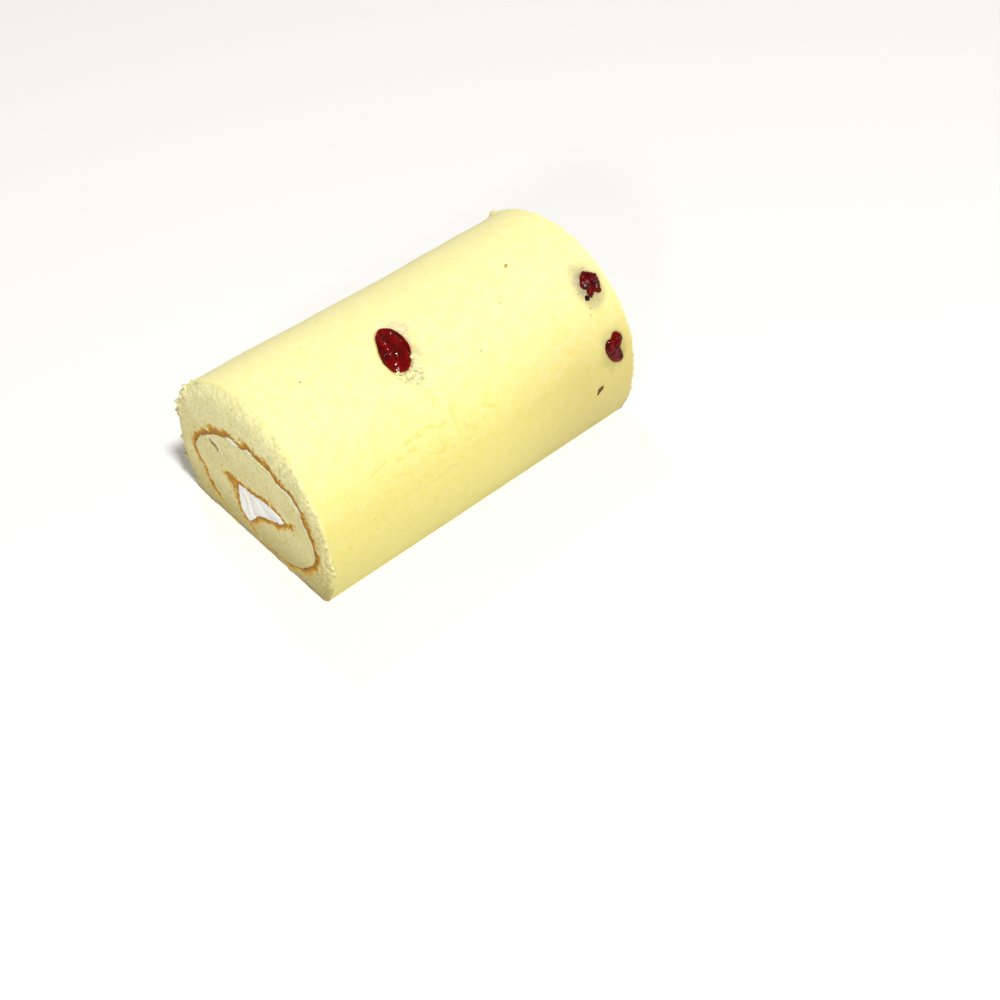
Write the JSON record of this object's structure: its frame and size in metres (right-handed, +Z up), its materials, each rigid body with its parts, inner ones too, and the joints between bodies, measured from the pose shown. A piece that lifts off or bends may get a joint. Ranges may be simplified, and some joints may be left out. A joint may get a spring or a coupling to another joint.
{
  "type": "swiss roll cake",
  "caption": "Cut log of swiss roll cake: pale yellow sponge sheet rolled round a cream filling, with dried red berries sunk in its skin.",
  "frame": {"origin": "middle of the flat base that the log rests on", "axes": "+X along the roll's axis, +Y across it, +Z up; the cut end at -X is the one the picture shows"},
  "size_m": [0.146, 0.0897, 0.0679],
  "materials": {
    "sponge": "matte open sponge crumb",
    "cream": "soft whipped cream, slight sheen",
    "dried_berry": "glossy wrinkled fruit skin"
  },
  "bodies": {
    "root": {"sponge_sheet": "sponge", "cream_filling": "cream", "dried_berry_middle": "dried_berry", "dried_berry_end_upper": "dried_berry", "dried_berry_end_lower": "dried_berry"}
  },
  "joints": []
}
